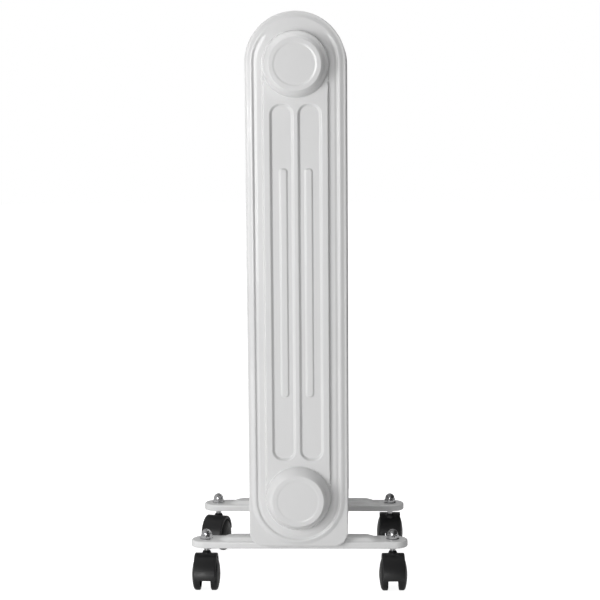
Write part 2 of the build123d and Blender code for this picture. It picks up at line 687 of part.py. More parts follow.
def rocker(x):
    """A rocker on two trunnions, standing at off."""
    section = [(-9.2, -0.8), (-4, -4.2), (4, -4.2), (9.2, -0.8), (9.2, 2.0), (0, 3.6), (-9.2, 2.0)]
    face = make_face(Polyline(*[(h, z) for z, h in section], close=True))
    paddle = extrude(face, 5.15, both=True)
    paddle = Rot(0, 90, 0) * Rot(0, 0, 90) * paddle
    paddle += Rot(0, 90, 0) * Cylinder(1.2, 12.0)
    return Pos(x, ROCKER_PIVOT_Y, ROCKER_Z) * Rot(-ROCKER_REST, 0, 0) * paddle


def indicator_lens():
    """The round lens over the lamp."""
    lens = rod(0, COVER_INSIDE_Y - 1, PANEL_FACE_Y + 0.4, LAMP_Z, 4.0)
    dome = Pos(0, PANEL_FACE_Y - 5.2, LAMP_Z) * Sphere(7.2)
    dome &= rod(0, PANEL_FACE_Y, PANEL_FACE_Y + 3, LAMP_Z, 5.0)
    return lens + dome - rod(0, COVER_INSIDE_Y - 2, PANEL_FACE_Y - 1, LAMP_Z, 2.6)


def neon_lamp():
    """The neon lamp behind the lens."""
    return rod(0, COVER_INSIDE_Y - 10, PANEL_FACE_Y - 2, LAMP_Z, 2.3)


def tip_over_switch():
    """A sensing switch on a bracket, with two ears for the pendulum's pin."""
    bracket = block((PENDULUM_X - 14, PENDULUM_X + 14), (COVER_Y, COVER_Y + 1.5),
                    (PENDULUM_Z - 14, PENDULUM_Z + 30))
    case = block((PENDULUM_X - 10, PENDULUM_X + 10), (COVER_Y + 1.5, COVER_Y + 24),
                 (PENDULUM_Z + 10, PENDULUM_Z + 26))
    body = bracket + case
    for y_from, y_to in ((TILT_Y - 7, TILT_Y - 4.6), (TILT_Y + 4.6, TILT_Y + 7)):
        body += block((PENDULUM_X - 4, PENDULUM_X + 4), (y_from, y_to), (PENDULUM_Z - 4, PENDULUM_Z + 11))
    return body - rod(PENDULUM_X, TILT_Y - 8, TILT_Y + 8, PENDULUM_Z, 1.55)


def tip_over_pendulum():
    """The weight that hangs on its pin and trips the switch when the heater falls."""
    pin = rod(PENDULUM_X, TILT_Y - 7.5, TILT_Y + 7.5, PENDULUM_Z, 1.5)
    arm = block((PENDULUM_X - 2, PENDULUM_X + 2), (TILT_Y - 4, TILT_Y + 4),
                (PENDULUM_Z - 26, PENDULUM_Z + 3))
    bob = Pos(PENDULUM_X, TILT_Y, PENDULUM_Z - 30) * Cylinder(7.5, 16)
    return pin + arm + bob


def thermal_cutout():
    """The over-temperature cut-out, clipped to the back plate above the element."""
    disc = rod(0, COVER_Y + 1.0, COVER_Y + 8, 158, 8.0)
    strap = block((-16, 16), (COVER_Y, COVER_Y + 1.0), (153, 163))
    blades = block((-6, -3), (COVER_Y + 8, COVER_Y + 15), (157.6, 158.4))
    blades += block((3, 6), (COVER_Y + 8, COVER_Y + 15), (157.6, 158.4))
    return disc + strap + blades


def terminal_block():
    """A three-way terminal block on the back plate."""
    body = block((8, 44), (COVER_Y, COVER_Y + 14), (196, 212))
    for i in range(3):
        body -= post(14 + 12 * i, COVER_Y + 8, 190, 220, 2.2)
        body -= rod(14 + 12 * i, COVER_Y + 8, COVER_Y + 15, 204, 2.4)
    return body


def cable_gland():
    """A flanged bush for the mains lead with a tapered sleeve outside."""
    line = [
        (GLAND_BORE_R, -4.5),
        (8.2, -4.5),
        (8.2, -HOUSING_WALL),
        (6.5, -HOUSING_WALL),
        (6.5, 0),
        (9.0, 0),
        (9.0, 1.6),
        (7.2, 2.2),
        (5.6, 13.5),
        (GLAND_BORE_R, 13.5),
    ]
    return Pos(0, COVER_BACK_Y, GLAND_Z) * turned(line)


def cord_clamp():
    """The bridge that grips the mains lead inside, on the cover's wall beside the gland."""
    low_y = COVER_INSIDE_Y - 12
    bridge = block((-13, 13), (low_y, COVER_INSIDE_Y), (126, 134))
    return bridge - block((-4.6, 4.6), (low_y + 3, COVER_INSIDE_Y + 1), (125, 135))


def lead(points, bend_r):
    """One insulated wire along straight runs joined by arcs."""
    path = FilletPolyline(*points, radius=bend_r)
    section = Plane(origin=path @ 0, z_dir=path % 0) * Circle(LEAD_R)
    return sweep(section, path=path)


def internal_leads():
    """The wires between the terminal block, switches, thermostat, cut-out and element."""
    blade_y = COVER_INSIDE_Y - 20
    case_y = COVER_INSIDE_Y - 28
    low_blade_z = ROCKER_Z - 5.9
    high_blade_z = ROCKER_Z + 5.9
    pin_y = COVER_Y + 16
    pin_top_z = LOWER_HUB_Z + ELEMENT_LEG + PIN_R
    routes = [
        [(26, COVER_Y + 8, 212), (26, COVER_Y + 8, 250), (20, COVER_Y + 8, 400),
         (-ROCKER_X, COVER_Y + 10, 460), (-ROCKER_X, blade_y, 480), (-ROCKER_X, blade_y, low_blade_z)],
        [(-ROCKER_X, blade_y, high_blade_z), (-ROCKER_X, blade_y, 532), (-10, case_y, 550),
         (-10, case_y, KNOB_Z - 0.4)],
        [(ROCKER_X, blade_y, high_blade_z), (ROCKER_X, blade_y, 532), (10, case_y, 550),
         (10, case_y, KNOB_Z - 0.4)],
        [(ROCKER_X, blade_y, low_blade_z), (ROCKER_X, blade_y, 476), (4.5, COVER_Y + 22, 430),
         (4.5, COVER_Y + 22, 210), (4.5, COVER_Y + 12, 184), (4.5, COVER_Y + 12, 158.4)],
        [(-4.5, COVER_Y + 12, 157.6), (-4.5, COVER_Y + 12, 147), (-ELEMENT_LEG, pin_y, 134),
         (-ELEMENT_LEG, pin_y, pin_top_z)],
        [(38, COVER_Y + 8, 196), (38, COVER_Y + 8, 180), (ELEMENT_LEG, pin_y, 145),
         (ELEMENT_LEG, pin_y, pin_top_z)],
    ]
    return Compound(children=[lead(points, LEAD_BEND_R) for points in routes])


def build_nodes():
    """Every node of the heater, by name."""
    nodes = fins()
    nodes["foot_bar_front"] = foot_bar(FRONT_BAR_Y)
    nodes["foot_bar_rear"] = foot_bar(REAR_BAR_Y)
    nodes["saddles"] = Compound(children=[saddle(y) for y in BAR_YS])
    nodes["u_bolts"] = Compound(children=[u_bolt(y) for y in BAR_YS])
    nodes["u_bolt_nuts"] = u_bolt_nuts()
    nodes["acorn_nuts"] = acorn_nuts()
    nodes["caster_stems"] = caster_stems()
    nodes.update(casters())
    nodes["element_flange"] = element_flange()
    nodes["heating_element"] = heating_element()
    nodes["internal_leads"] = internal_leads()
    nodes["housing_studs"] = housing_studs()
    nodes["stud_nuts"] = stud_nuts()
    nodes["control_housing"] = control_housing()
    nodes["control_back_plate"] = control_back_plate()
    nodes["housing_screws"] = housing_screws()
    nodes["control_panel"] = control_panel()
    nodes["thermostat_body"] = thermostat_body()
    nodes["thermostat_nut"] = thermostat_nut()
    nodes["thermostat_shaft"] = thermostat_shaft()
    nodes["thermostat_knob"] = knob()
    nodes["power_switch_body"] = switch_body(-ROCKER_X)
    nodes["heat_switch_body"] = switch_body(ROCKER_X)
    nodes["power_rocker"] = rocker(-ROCKER_X)
    nodes["heat_rocker"] = rocker(ROCKER_X)
    nodes["indicator_lens"] = indicator_lens()
    nodes["neon_lamp"] = neon_lamp()
    nodes["tip_over_switch"] = tip_over_switch()
    nodes["tip_over_pendulum"] = tip_over_pendulum()
    nodes["thermal_cutout"] = thermal_cutout()
    nodes["terminal_block"] = terminal_block()
    nodes["cable_gland"] = cable_gland()
    nodes["cord_clamp"] = cord_clamp()
    return nodes


def main():
    os.makedirs("parts", exist_ok=True)
    for name, solid in build_nodes().items():
        export_step(solid, f"parts/{name}.step")


main()
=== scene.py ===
"""Oil filled radiator heater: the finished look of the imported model, in metres."""
import json
import math

import bmesh
import bpy
import numpy as np
from mathutils import Matrix, Vector
from mathutils.geometry import delaunay_2d_cdt


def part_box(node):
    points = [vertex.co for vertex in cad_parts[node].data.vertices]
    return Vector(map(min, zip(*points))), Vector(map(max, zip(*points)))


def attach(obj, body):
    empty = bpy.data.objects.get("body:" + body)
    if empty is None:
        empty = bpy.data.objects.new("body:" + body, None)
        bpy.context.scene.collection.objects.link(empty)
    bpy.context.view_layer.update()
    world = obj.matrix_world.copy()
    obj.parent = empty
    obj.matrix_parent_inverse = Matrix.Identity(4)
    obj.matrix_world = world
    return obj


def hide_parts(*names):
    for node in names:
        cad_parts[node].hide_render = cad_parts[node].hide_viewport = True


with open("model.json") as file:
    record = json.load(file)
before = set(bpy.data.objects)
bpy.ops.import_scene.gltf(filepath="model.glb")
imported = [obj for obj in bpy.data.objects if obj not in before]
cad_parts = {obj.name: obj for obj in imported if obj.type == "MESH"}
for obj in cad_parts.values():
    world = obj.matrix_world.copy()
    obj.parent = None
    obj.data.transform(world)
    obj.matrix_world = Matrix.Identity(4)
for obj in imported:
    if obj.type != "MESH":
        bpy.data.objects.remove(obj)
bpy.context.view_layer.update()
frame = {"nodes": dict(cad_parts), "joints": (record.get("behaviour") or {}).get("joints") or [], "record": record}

MM = 0.001
nodes = frame["nodes"]


# ---- measures read from the frame, in millimetres
def box_mm(node):
    """A node's low and high corners in millimetres."""
    low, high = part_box(node)
    return [v / MM for v in low], [v / MM for v in high]


FIN_COUNT = sum(name.endswith("_front_shell") for name in nodes)
FIN_LOW, FIN_HIGH = box_mm("fin_1_front_shell")
FIN_HALF_WIDTH = (FIN_HIGH[0] - FIN_LOW[0]) / 2
FIN_BOTTOM_Z = FIN_LOW[2]
UPPER_HUB_Z = FIN_HIGH[2] - FIN_HALF_WIDTH
LOWER_HUB_Z = 106.0
HUB_H = box_mm("fin_2_front_shell")[1][1] - box_mm("fin_2_front_shell")[0][1]
CLOSED_HUB_H = FIN_HIGH[1] - FIN_LOW[1]
FIRST_FIN_Y = FIN_HIGH[1]
FIN_PITCH = box_mm("fin_2_front_shell")[1][1] - FIRST_FIN_Y
BAR_YS = {"front": FIRST_FIN_Y + FIN_PITCH / 2, "rear": FIRST_FIN_Y + (FIN_COUNT - 1.5) * FIN_PITCH}


def joint_of(name):
    """One joint's record."""
    return next(joint for joint in frame["joints"] if joint["name"] == name)


# ---- materials
class Graph:
    """A node material with short ways to add and link nodes."""

    def __init__(self, name):
        self.material = bpy.data.materials.new(name)
        self.material.use_nodes = True
        self.tree = self.material.node_tree
        self.shader = self.tree.nodes["Principled BSDF"]
        self.place = self.add("ShaderNodeTexCoord").outputs["Object"]

    def add(self, kind, **settings):
        """A new node with some settings."""
        node = self.tree.nodes.new(kind)
        for key, value in settings.items():
            setattr(node, key, value)
        return node

    def link(self, source, target):
        """Feed one socket into another."""
        self.tree.links.new(source, target)

    def noise(self, scale, detail=3.0, stretch=(1, 1, 1)):
        """Noise in object space; scale is in features per metre."""
        mapping = self.add("ShaderNodeMapping")
        mapping.inputs["Scale"].default_value = stretch
        texture = self.add("ShaderNodeTexNoise")
        texture.inputs["Scale"].default_value = scale
        texture.inputs["Detail"].default_value = detail
        self.link(self.place, mapping.inputs["Vector"])
        self.link(mapping.outputs["Vector"], texture.inputs["Vector"])
        return texture.outputs["Fac"]

    def spread(self, source, low, high, from_low=0.3, from_high=0.7):
        """Map a grey value onto a range."""
        node = self.add("ShaderNodeMapRange")
        node.inputs["From Min"].default_value = from_low
        node.inputs["From Max"].default_value = from_high
        node.inputs["To Min"].default_value = low
        node.inputs["To Max"].default_value = high
        self.link(source, node.inputs["Value"])
        return node.outputs["Result"]

    def mix(self, factor, first, second):
        """Mix two colours; either may be a socket."""
        node = self.add("ShaderNodeMix", data_type="RGBA")
        self.link(factor, node.inputs["Factor"])
        for value, socket in ((first, node.inputs[6]), (second, node.inputs[7])):
            if hasattr(value, "is_linked"):
                self.link(value, socket)
            else:
                socket.default_value = (*value, 1.0)
        return node.outputs[2]

    def bump(self, source, strength, distance):
        """A bump layer."""
        node = self.add("ShaderNodeBump")
        node.inputs["Strength"].default_value = strength
        node.inputs["Distance"].default_value = distance
        self.link(source, node.inputs["Height"])
        return node.outputs["Normal"]


COAT_ROUGHNESS = 0.04
WEAR_START, WEAR_SPAN = 0.53, 0.08


def shade(colour, factor):
    """A colour made lighter or darker."""
    return tuple(min(1.0, c * factor) for c in colour)


def finish_material(name, colour, roughness, metallic=0.0, coat=0.0, mottle=0.03, mottle_scale=14.0,
                    grain_scale=900.0, grain=0.05, grain_depth=0.0002, rough_spread=0.05, wear=None,
                    stretch=(1, 1, 1)):
    """A procedural finish: mottled colour, uneven gloss, fine grain and worn edges."""
    g = Graph(name)
    shader = g.shader
    shader.inputs["Metallic"].default_value = metallic
    shader.inputs["Coat Weight"].default_value = coat
    shader.inputs["Coat Roughness"].default_value = COAT_ROUGHNESS
    soft = g.noise(mottle_scale, 4.0, stretch)
    tint = g.mix(g.spread(soft, 0.0, 1.0), shade(colour, 1 - mottle), shade(colour, 1 + mottle))
    if wear:
        pointed = g.add("ShaderNodeNewGeometry").outputs["Pointiness"]
        edge = g.spread(pointed, 0.0, 1.0, WEAR_START, WEAR_START + WEAR_SPAN)
        patchy = g.spread(g.noise(mottle_scale * 9, 3.0), 0.0, 1.0, 0.42, 0.6)
        worn = g.add("ShaderNodeMath", operation="MULTIPLY")
        g.link(edge, worn.inputs[0])
        g.link(patchy, worn.inputs[1])
        tint = g.mix(worn.outputs[0], tint, wear)
    g.link(tint, shader.inputs["Base Color"])
    cloud = g.noise(mottle_scale * 3.1, 4.0, stretch)
    g.link(g.spread(cloud, roughness - rough_spread, roughness + rough_spread), shader.inputs["Roughness"])
    fine = g.noise(grain_scale, 2.0, stretch)
    g.link(g.bump(fine, grain, grain_depth), shader.inputs["Normal"])
    return g.material


def see_through(name, colour, roughness, transmission):
    """A tinted clear moulding with faint flow marks."""
    material = finish_material(name, colour, roughness, mottle=0.08, mottle_scale=300.0, rough_spread=0.03,
                               grain_scale=1500.0, grain=0.04)
    shader = material.node_tree.nodes["Principled BSDF"]
    shader.inputs["Transmission Weight"].default_value = transmission
    shader.inputs["IOR"].default_value = 1.49
    return material


MATERIALS = {
    "white_enamel": finish_material("white_enamel", (0.70, 0.70, 0.70), 0.24, coat=0.7, mottle=0.008,
                                    mottle_scale=9.0, grain_scale=420.0, grain=0.02, grain_depth=0.00012,
                                    rough_spread=0.02),
    "chrome_plate": finish_material("chrome_plate", (0.68, 0.68, 0.69), 0.12, metallic=1.0, mottle=0.05,
                                    mottle_scale=160.0, grain_scale=1400.0, grain=0.03, rough_spread=0.05),
    "zinc_steel": finish_material("zinc_steel", (0.50, 0.51, 0.52), 0.36, metallic=1.0, mottle=0.12,
                                  mottle_scale=90.0, grain_scale=1200.0, grain=0.08, rough_spread=0.1),
    "element_steel": finish_material("element_steel", (0.30, 0.30, 0.29), 0.45, metallic=1.0, mottle=0.2,
                                     mottle_scale=60.0, grain=0.1, rough_spread=0.1),
    "black_nylon": finish_material("black_nylon", (0.010, 0.010, 0.0105), 0.36, mottle=0.12,
                                   mottle_scale=60.0, grain_scale=2600.0, grain=0.22,
                                   grain_depth=0.00012, rough_spread=0.07, wear=(0.06, 0.06, 0.062)),
    "wheel_nylon": finish_material("wheel_nylon", (0.011, 0.011, 0.0115), 0.34, mottle=0.15,
                                   mottle_scale=90.0, grain_scale=1900.0, grain=0.12,
                                   grain_depth=0.0001, rough_spread=0.08, wear=(0.07, 0.07, 0.07)),
    "white_plastic": finish_material("white_plastic", (0.68, 0.68, 0.675), 0.38, mottle=0.015,
                                     mottle_scale=12.0, grain_scale=1600.0, grain=0.12, grain_depth=0.0001,
                                     rough_spread=0.04),
    "dark_panel": finish_material("dark_panel", (0.055, 0.057, 0.06), 0.33, mottle=0.06, mottle_scale=30.0,
                                  grain_scale=2800.0, grain=0.16, grain_depth=0.0001, rough_spread=0.05),
    "knob_plastic": finish_material("knob_plastic", (0.075, 0.077, 0.08), 0.44, mottle=0.06,
                                    mottle_scale=60.0, grain_scale=2400.0, grain=0.18, grain_depth=0.0001,
                                    wear=(0.16, 0.16, 0.165)),
    "brass_shaft": finish_material("brass_shaft", (0.72, 0.53, 0.24), 0.28, metallic=1.0, mottle=0.08,
                                   mottle_scale=200.0, grain_scale=900.0, grain=0.08, stretch=(1, 0.1, 1)),
    "phenolic": finish_material("phenolic", (0.06, 0.045, 0.035), 0.4, mottle=0.2, mottle_scale=120.0,
                                grain_scale=1500.0, grain=0.15),
    "switch_black": finish_material("switch_black", (0.016, 0.016, 0.017), 0.22, mottle=0.1,
                                    mottle_scale=80.0, grain_scale=1500.0, grain=0.05,
                                    wear=(0.05, 0.05, 0.05)),
    "amber_lens": see_through("amber_lens", (0.80, 0.25, 0.03), 0.12, 0.55),
    "lamp_glass": see_through("lamp_glass", (0.90, 0.84, 0.76), 0.06, 0.85),
    "gland_rubber": finish_material("gland_rubber", (0.02, 0.02, 0.021), 0.6, mottle=0.15,
                                    mottle_scale=120.0, grain_scale=1700.0, grain=0.25, grain_depth=0.00015,
                                    wear=(0.06, 0.06, 0.06)),
    "lead_insulation": finish_material("lead_insulation", (0.22, 0.07, 0.04), 0.5, mottle=0.1,
                                       mottle_scale=150.0, grain_scale=1500.0, grain=0.1),
}


def set_material(obj, slot):
    """Give an object one slot's finish."""
    obj.data.materials.clear()
    obj.data.materials.append(MATERIALS[slot])


for part in frame["record"]["subparts"]:
    set_material(nodes[part["node"]], part["material_slot"])


# ---- pieces
def add_piece(name, mesh, body, slot, replaces=(), place=None):
    """Link a mesh, or a copy of it moved to a place, as a piece that rides on a body."""
    if place is not None:
        mesh = mesh.copy()
        mesh.transform(place)
    piece = bpy.data.objects.new(name, mesh)
    bpy.context.scene.collection.objects.link(piece)
    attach(piece, body)
    if replaces:
        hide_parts(*replaces)
    set_material(piece, slot)


def mesh_from(name, points_mm, faces, sharp_angle=None):
    """A mesh from points in millimetres; smooth, with edges sharper than sharp_angle kept crisp."""
    mesh = bpy.data.meshes.new(name)
    mesh.from_pydata([tuple(v * MM for v in p) for p in points_mm], [], faces)
    mesh.validate()
    mesh.shade_smooth()
    if sharp_angle is not None:
        mesh.set_sharp_from_angle(angle=math.radians(sharp_angle))
    return mesh


# ---- pressed fins
SHEET = 1.0
BACK_DEPTH = 0.8
SLOPE_STEP = 0.02
EDGE_CORNER_R = 16.0
RIM_ROUND, RIM_ROUND_WIDTH = 0.55, 1.1
CHANNEL_INNER_X, CHANNEL_OUTER_X = 1.8, 28.2
CHANNEL_LOW_Z, CHANNEL_HIGH_Z = 149.0, 537.0
CHANNEL_CORNER_R, CHANNEL_DEPTH, CHANNEL_FLANK = 12.0, 2.4, 3.4
RIB_X, RIB_WIDTH, RIB_LOW_Z, RIB_HIGH_Z = 13.5, 9.6, 219.0, 468.0
RIB_CORNER_R, RIB_RISE, RIB_FLANK = 4.2, 1.2, 2.0
BEAD_RISE, BEAD_SPAN = 1.4, (51.8, 47.0)
GROOVE_DEPTH, GROOVE_SPAN = 1.4, (46.4, 44.2)
GROOVE_RETURN, RETURN_SPAN = 0.5, (43.6, 41.2)
GROOVE_END_Z = (UPPER_HUB_Z + 2, UPPER_HUB_Z + 34)
PLATFORM_RISE, PLATFORM_SPAN, PLATFORM_GAPS = 2.9, (35.6, 34.5), (9, 19)
PLATFORM_END_R, PLATFORM_END_GAP = 38.0, 8.0
HUB_FOOT_H, HUB_FOOT_R, HUB_SLOPE = 4.3, 36.2, 1.35
NECK_R, NECK_HOLE_R, NECK_RAMP, OPEN_EDGE_R = 30.0, 20.0, 1.2, 30.6
SHOULDER_R, CLOSED_FOOT_R, HUB_REACH_R, HUB_FILLET = 28.0, 35.8, 41.0, 1.3
FLANK_SLOPE, FLANK_DROP, FOOT_SLOPE = 0.75, 13.0, 4.0
DISH_R, DISH_EDGE, DISH_DEPTH, FACE_SET_BACK = 22.6, 1.2, 0.28, 0.15
CLOSED_UPPER_Z, CLOSED_LOWER_Z = UPPER_HUB_Z - 2.1, LOWER_HUB_Z + 1.8


def ease(x, start, end):
    """A smooth step from 0 at start to 1 at end."""
    t = np.clip((x - start) / (end - start), 0.0, 1.0)
    return t * t * (3 - 2 * t)


def smooth_max(a, b, k):
    """The larger of two values with a fillet of about k between them."""
    t = np.clip(0.5 + 0.5 * (a - b) / k, 0.0, 1.0)
    return b + (a - b) * t + k * t * (1 - t)


def rounded_box_inside(x, z, x_range, z_range, corner_r):
    """How far a point lies inside a rounded rectangle; negative outside."""
    half_x, half_z = (x_range[1] - x_range[0]) / 2, (z_range[1] - z_range[0]) / 2
    qx = np.abs(x - sum(x_range) / 2) - half_x + corner_r
    qz = np.abs(z - sum(z_range) / 2) - half_z + corner_r
    outside = np.hypot(np.maximum(qx, 0), np.maximum(qz, 0)) + np.minimum(np.maximum(qx, qz), 0)
    return corner_r - outside


def hub_line_distance(x, z):
    """Distance from the line between the two hub centres."""
    return np.hypot(x, z - np.clip(z, LOWER_HUB_Z, UPPER_HUB_Z))


def edge_distance(x, z):
    """How far a point lies inside the fin's outline."""
    low = rounded_box_inside(x, z, (-FIN_HALF_WIDTH, FIN_HALF_WIDTH), (FIN_BOTTOM_Z, 2000.0), EDGE_CORNER_R)
    top = FIN_HALF_WIDTH - np.hypot(x, np.maximum(z - UPPER_HUB_Z, 0))
    return np.minimum(low, top)


def hub_centre_z(hub_z, closed):
    """The height of a hub's centre; closed hubs sit a little nearer the middle."""
    if not closed:
        return hub_z
    return CLOSED_UPPER_Z if hub_z == UPPER_HUB_Z else CLOSED_LOWER_Z


def hub_height(rho, closed):
    """The height of a hub at a distance from its centre."""
    if not closed:
        return HUB_FOOT_H + (HUB_FOOT_R - rho) * HUB_SLOPE
    t = np.clip((rho - SHOULDER_R) / (CLOSED_FOOT_R - SHOULDER_R), 0.0, 0.998)
    drop = FLANK_SLOPE * np.maximum(rho - SHOULDER_R, 0.0) + FLANK_DROP * (1 - np.sqrt(1 - t * t))
    drop = drop + FOOT_SLOPE * np.maximum(rho - CLOSED_FOOT_R, 0.0)
    dish = DISH_DEPTH * ease(rho, DISH_R + DISH_EDGE, DISH_R - DISH_EDGE)
    return CLOSED_HUB_H - FACE_SET_BACK - dish - drop


def fin_height(x, z, lower_closed, upper_closed):
    """The pressed form's height above the weld plane."""
    r = hub_line_distance(x, z)
    h = SHEET - RIM_ROUND * ease(edge_distance(x, z), RIM_ROUND_WIDTH, 0.0)
    groove = GROOVE_DEPTH * ease(r, *GROOVE_SPAN) - GROOVE_RETURN * ease(r, *RETURN_SPAN)
    h = h + BEAD_RISE * ease(r, *BEAD_SPAN) - (1 - ease(z, *GROOVE_END_Z)) * groove
    near, far = PLATFORM_GAPS
    ends = ease(z, LOWER_HUB_Z + near, LOWER_HUB_Z + far) * ease(z, UPPER_HUB_Z - near, UPPER_HUB_Z - far)
    h = h + PLATFORM_RISE * ease(np.abs(x), *PLATFORM_SPAN) * ends
    for side in (-1, 1):
        x_range = sorted((side * CHANNEL_INNER_X, side * CHANNEL_OUTER_X))
        inside = rounded_box_inside(x, z, x_range, (CHANNEL_LOW_Z, CHANNEL_HIGH_Z), CHANNEL_CORNER_R)
        h = h - CHANNEL_DEPTH * ease(inside, -0.2, CHANNEL_FLANK)
        rib_range = (side * RIB_X - RIB_WIDTH / 2, side * RIB_X + RIB_WIDTH / 2)
        inside = rounded_box_inside(x, z, rib_range, (RIB_LOW_Z, RIB_HIGH_Z), RIB_CORNER_R)
        h = h + RIB_RISE * ease(inside, 0.0, RIB_FLANK)
    for hub_z, closed in ((LOWER_HUB_Z, lower_closed), (UPPER_HUB_Z, upper_closed)):
        rho = np.hypot(x, z - hub_centre_z(hub_z, closed))
        h = np.where(rho < HUB_REACH_R, smooth_max(h, hub_height(rho, closed), HUB_FILLET), h)
    return h


def arc_points(cx, cz, radius, start, end, count):
    """Points along an arc, angles in degrees."""
    angles = np.radians(np.linspace(start, end, count + 1))
    return [(cx + radius * math.cos(a), cz + radius * math.sin(a)) for a in angles]


def line_points(x, z_from, z_to, step=19.0):
    """Points up or down a straight line, ends left out."""
    count = max(int(abs(z_to - z_from) / step), 1)
    return [(x, z) for z in np.linspace(z_from, z_to, count + 1)[1:-1]]


def racetrack_loop(radius, segments=44):
    """A closed loop at one distance from the hub line."""
    loop = arc_points(0, UPPER_HUB_Z, radius, 0, 180, segments)
    loop += line_points(-radius, UPPER_HUB_Z, LOWER_HUB_Z)
    loop += arc_points(0, LOWER_HUB_Z, radius, 180, 360, segments)
    return loop + line_points(radius, LOWER_HUB_Z, UPPER_HUB_Z)


def outline_loop(shrink, segments=44):
    """The fin's outline, drawn in by shrink."""
    half = FIN_HALF_WIDTH - shrink
    corner = EDGE_CORNER_R - shrink
    low = FIN_BOTTOM_Z + EDGE_CORNER_R
    loop = arc_points(0, UPPER_HUB_Z, half, 0, 180, segments)
    loop += line_points(-half, UPPER_HUB_Z, low)
    loop += arc_points(-half + corner, low, corner, 180, 270, 10)
    loop += arc_points(half - corner, low, corner, 270, 360, 10)
    return loop + line_points(half, low, UPPER_HUB_Z)


def rounded_loop(x_range, z_range, corner_r, inset):
    """A rounded rectangle's loop, drawn in by inset."""
    corner = max(corner_r - inset, 0.25)
    x0, x1 = x_range[0] + inset + corner, x_range[1] - inset - corner
    z0, z1 = z_range[0] + inset + corner, z_range[1] - inset - corner
    loop = arc_points(x1, z1, corner, 0, 90, 8) + arc_points(x0, z1, corner, 90, 180, 8)
    loop += line_points(x0 - corner, z1, z0)
    loop += arc_points(x0, z0, corner, 180, 270, 8) + arc_points(x1, z0, corner, 270, 360, 8)
    return loop + line_points(x1 + corner, z0, z1)


def fin_plan(lower_closed, upper_closed):
    """The plan's points and triangles, with edges that follow every bend of the pressing."""
    points, edges = [], []

    def add_run(run, closed):
        start = len(points)
        points.extend(Vector(p) for p in run)
        edges.extend((start + i, start + i + 1) for i in range(len(run) - 1))
        if closed:
            edges.append((start + len(run) - 1, start))

    for shrink in (0.0, 0.35, 0.8, 1.3):
        add_run(outline_loop(shrink), True)
    for radius in (52.0, 51.3, 50.5, 49.7, 48.9, 48.2, 47.6, 46.8, 46.2, 45.6, 45.0, 44.5, 44.0, 43.4, 42.6,
                   41.8):
        add_run(racetrack_loop(radius), True)
    for half in (40.9, 38.8, 37.2, 36.8, 36.5, 36.2, 35.8, 35.4, 35.1, 34.7, 33.6, 31.5, 29.6):
        rise = PLATFORM_END_GAP + math.sqrt(max(PLATFORM_END_R ** 2 - half ** 2, 0.0))
        for side in (-1, 1):
            low, high = LOWER_HUB_Z + rise, UPPER_HUB_Z - rise
            x = side * half
            add_run([(x, low)] + line_points(x, low, high) + [(x, high)], False)
    hub_radii = (HUB_REACH_R, 39.8, 38.6, 37.6, 36.9, 36.4, 36.0, 35.6, 35.3, 34.9, 34.4, 33.8, 33.2, 32.6,
                 32.0, 31.3, OPEN_EDGE_R)
    face_radii = (29.8, 29.2, 28.6, 28.1, 27.6, 26.8, 25.4, 24.2, 23.5, 22.9, 22.3, 21.7, 21.0, 18.0, 13.0,
                  8.0, 3.5)
    for hub_z, closed in ((LOWER_HUB_Z, lower_closed), (UPPER_HUB_Z, upper_closed)):
        for radius in hub_radii + (face_radii if closed else ()):
            centre_z = hub_centre_z(hub_z, closed)
            add_run(arc_points(0, centre_z, radius, 0, 360, 88 if radius > 12 else 24)[:-1], True)
    for side in (-1, 1):
        x_range = sorted((side * CHANNEL_INNER_X, side * CHANNEL_OUTER_X))
        for inset in (-0.2, 0.4, 1.0, 1.6, 2.2, 2.8, 3.4, 4.2):
            add_run(rounded_loop(x_range, (CHANNEL_LOW_Z, CHANNEL_HIGH_Z), CHANNEL_CORNER_R, inset), True)
        rib_range = (side * RIB_X - RIB_WIDTH / 2, side * RIB_X + RIB_WIDTH / 2)
        for inset in (-0.3, 0.3, 0.8, 1.3, 1.8, 2.4):
            add_run(rounded_loop(rib_range, (RIB_LOW_Z, RIB_HIGH_Z), RIB_CORNER_R, inset), True)
    verts, _, faces, *_ = delaunay_2d_cdt(points, edges, [], 0, 1e-4, False)
    plan = np.array([tuple(v) for v in verts])
    kept = []
    for face in faces:
        cx, cz = plan[list(face)].mean(axis=0)
        open_low = not lower_closed and math.hypot(cx, cz - LOWER_HUB_Z) < OPEN_EDGE_R - 0.1
        open_high = not upper_closed and math.hypot(cx, cz - UPPER_HUB_Z) < OPEN_EDGE_R - 0.1
        if not (open_low or open_high):
            kept.append(tuple(face))
    used = sorted({i for face in kept for i in face})
    renumber = {old: new for new, old in enumerate(used)}
    return plan[used], [tuple(renumber[i] for i in face) for face in kept]


def boundary_loops(faces):
    """The ordered loops of edges that only one face uses."""
    following = {}
    pairs = {(a, b) for f in faces for a, b in zip(f, f[1:] + f[:1])}
    for a, b in pairs:
        if (b, a) not in pairs:
            following[a] = b
    loops = []
    while following:
        start, current = following.popitem()
        loop = [start]
        while current != start:
            loop.append(current)
            current = following.pop(current)
        loops.append(loop)
    return loops


